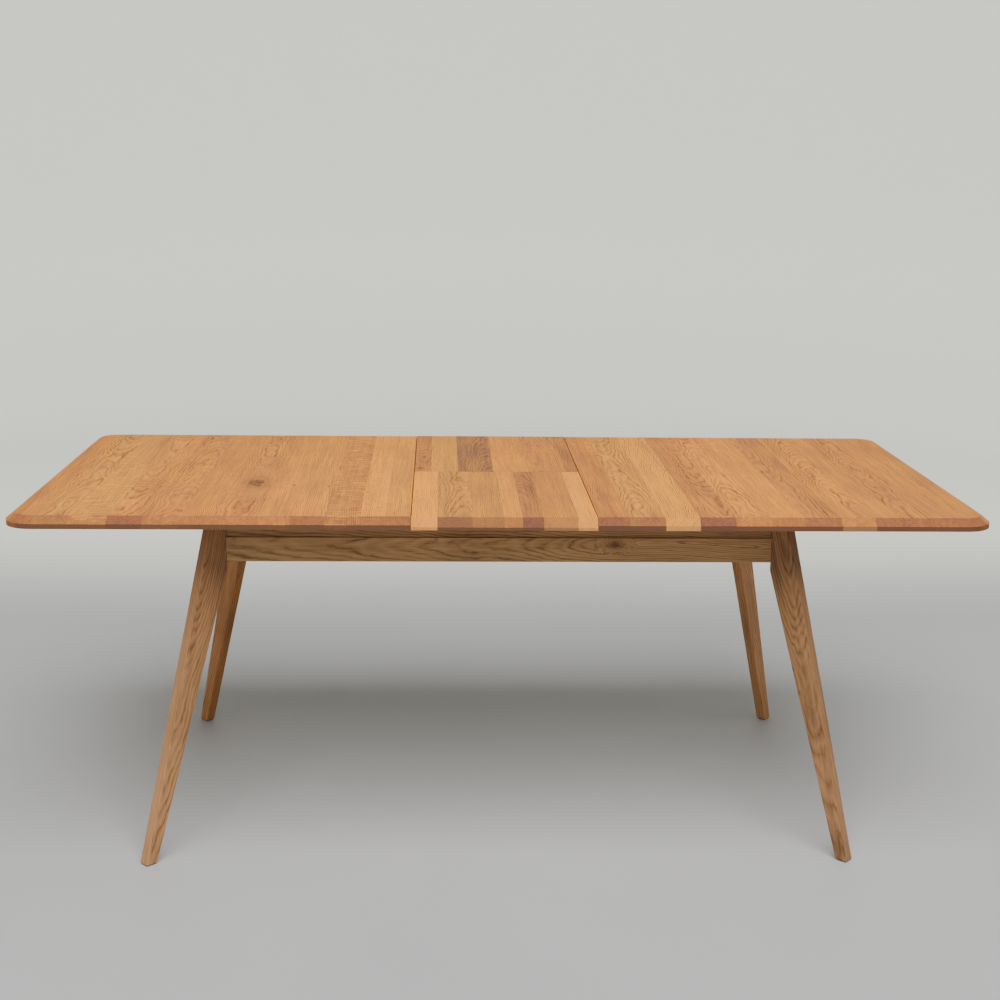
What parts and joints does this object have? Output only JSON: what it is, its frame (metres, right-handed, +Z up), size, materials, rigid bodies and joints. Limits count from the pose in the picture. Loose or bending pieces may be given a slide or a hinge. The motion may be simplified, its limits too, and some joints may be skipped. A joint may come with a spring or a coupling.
{
  "type": "extending dining table",
  "caption": "Extending dining table in solid oak on splayed legs: the halves of its top slide apart on runners and a folding leaf fills the gap between them.",
  "frame": {"origin": "on the floor, under the middle of the leaf", "axes": "+X along the table to the right half, +Y from the front to the back, +Z up"},
  "size_m": [1.9716, 0.9, 0.75],
  "materials": {
    "oak_top": "oiled oak staves",
    "oak_frame": "oiled oak",
    "beech": "plain beech",
    "steel": "zinc plated",
    "brass": "turned brass",
    "glides": "dark plastic pads"
  },
  "bodies": {
    "frame": {"apron_back": "oak_frame", "apron_front": "oak_frame", "apron_left": "oak_frame", "apron_right": "oak_frame", "bearer_left": "oak_frame", "bearer_right": "oak_frame", "bearer_screws": "steel", "corner_block_back_left": "oak_frame", "corner_block_back_right": "oak_frame", "corner_block_front_left": "oak_frame", "corner_block_front_right": "oak_frame", "glide_back_left": "glides", "glide_back_right": "glides", "glide_front_left": "glides", "glide_front_right": "glides", "guide_rail_back": "oak_frame", "guide_rail_front": "oak_frame", "leaf_slat_left": "oak_frame", "leaf_slat_middle": "oak_frame", "leaf_slat_right": "oak_frame", "ledger_back": "oak_frame", "ledger_front": "oak_frame", "ledger_screws": "steel", "leg_back_left": "oak_frame", "leg_back_right": "oak_frame", "leg_bolts": "steel", "leg_front_left": "oak_frame", "leg_front_right": "oak_frame", "leg_nuts": "steel", "leg_washers": "steel", "rail_dowels": "beech", "slat_screws": "steel"},
    "left_half": {"top_left": "oak_top", "outer_runner_left": "oak_frame", "inner_runner_left": "oak_frame", "runner_screws_left": "steel"},
    "right_half": {"top_right": "oak_top", "outer_runner_right": "oak_frame", "inner_runner_right": "oak_frame", "runner_screws_right": "steel"},
    "leaf_front_panel": {"leaf_front": "oak_top", "hinge_front_left": "brass", "hinge_front_middle": "brass", "hinge_front_right": "brass", "hinge_arms": "steel"},
    "leaf_back_panel": {"leaf_back": "oak_top", "hinge_back_left": "brass", "hinge_back_middle": "brass", "hinge_back_right": "brass"}
  },
  "joints": [
    {"name": "left_slide", "type": "slide", "parent": "frame", "child": "left_half", "axis": [-1, 0, 0], "range_m": [0, 0.045]},
    {"name": "right_slide", "type": "slide", "parent": "frame", "child": "right_half", "axis": [1, 0, 0], "range_m": [0, 0.045]},
    {"name": "leaf_lift", "type": "slide", "parent": "frame", "child": "leaf_front_panel", "axis": [0, 0, 1], "range_m": [0, 0.25]},
    {"name": "leaf_fold", "type": "hinge", "parent": "leaf_front_panel", "child": "leaf_back_panel", "pos_m": [0, 0, 0.75], "axis": [1, 0, 0], "range_deg": [0, 178]}
  ]
}
